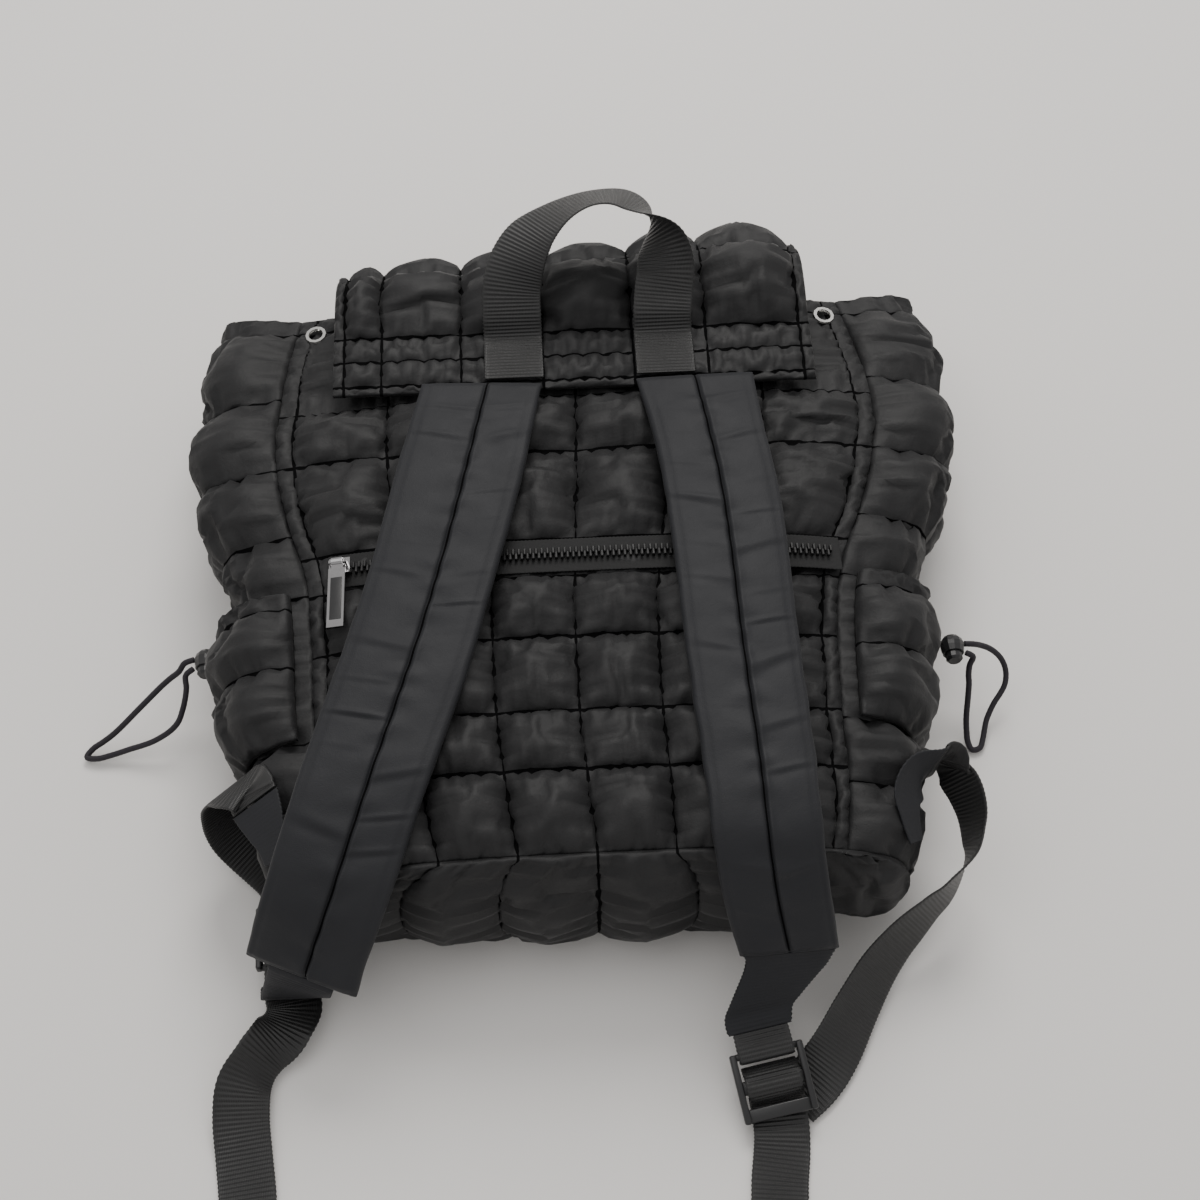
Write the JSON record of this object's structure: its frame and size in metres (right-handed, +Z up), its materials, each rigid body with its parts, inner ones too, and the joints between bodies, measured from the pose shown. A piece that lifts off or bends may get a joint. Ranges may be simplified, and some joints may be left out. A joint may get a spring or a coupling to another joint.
{
  "type": "quilted puffer backpack",
  "caption": "Black quilted puffer backpack with a flap over the mouth, padded shoulder straps, side pockets with drawcords, a zipped back pocket and a webbing grab handle.",
  "frame": {"origin": "on the surface that the bag rests on, under the middle of its front panel", "axes": "+Z up, away from the surface and out of the back panel; +Y along the bag to its mouth and grab handle; +X to the right, seen from above with the mouth away"},
  "size_m": [0.461, 0.5177, 0.1522],
  "materials": {
    "quilted_nylon": "semi-matt nylon",
    "strap_nylon": "semi-matt nylon",
    "webbing": "ribbed webbing",
    "zip_tape": "matt woven tape",
    "gunmetal": "polished gunmetal",
    "nickel": "polished nickel",
    "black_plastic": "satin",
    "drawcord": "braided cord"
  },
  "bodies": {
    "bag": {"back_panel": "quilted_nylon", "front_panel": "quilted_nylon", "gusset_left": "quilted_nylon", "gusset_right": "quilted_nylon", "base_panel": "quilted_nylon", "flap": "quilted_nylon", "pocket_left": "quilted_nylon", "pocket_right": "quilted_nylon", "shoulder_strap_left": "strap_nylon", "shoulder_strap_right": "strap_nylon", "strap_tip_left": "strap_nylon", "strap_tip_right": "strap_nylon", "side_tab_left": "strap_nylon", "side_tab_right": "strap_nylon", "webbing_left": "webbing", "webbing_right": "webbing", "webbing_tail_right": "webbing", "buckle_loop_left": "webbing", "buckle_loop_right": "webbing", "grab_handle": "webbing", "zip_tape": "zip_tape", "zip_teeth": "gunmetal", "zip_slider": "gunmetal", "eyelet_left": "nickel", "eyelet_right": "nickel", "cord_lock_left": "black_plastic", "cord_lock_right": "black_plastic", "ladder_lock_left": "black_plastic", "ladder_lock_right": "black_plastic", "drawcord_left": "drawcord", "drawcord_right": "drawcord"},
    "puller": {"zip_puller": "gunmetal"},
    "button_left": {"lock_button_left": "black_plastic"},
    "button_right": {"lock_button_right": "black_plastic"}
  },
  "joints": [
    {"name": "puller_hinge", "type": "hinge", "parent": "bag", "child": "puller", "pos_m": [-0.1164, -0.0205, 0.0954], "axis": [-0.9872, 0, -0.1594], "range_deg": [0, 165]},
    {"name": "button_press_left", "type": "slide", "parent": "bag", "child": "button_left", "axis": [0, 1, 0], "range_m": [0, 0.002], "stiffness_N_per_m": 300, "springref_m": -0.002},
    {"name": "button_press_right", "type": "slide", "parent": "bag", "child": "button_right", "axis": [0, 1, 0], "range_m": [0, 0.002], "stiffness_N_per_m": 300, "springref_m": -0.002}
  ]
}
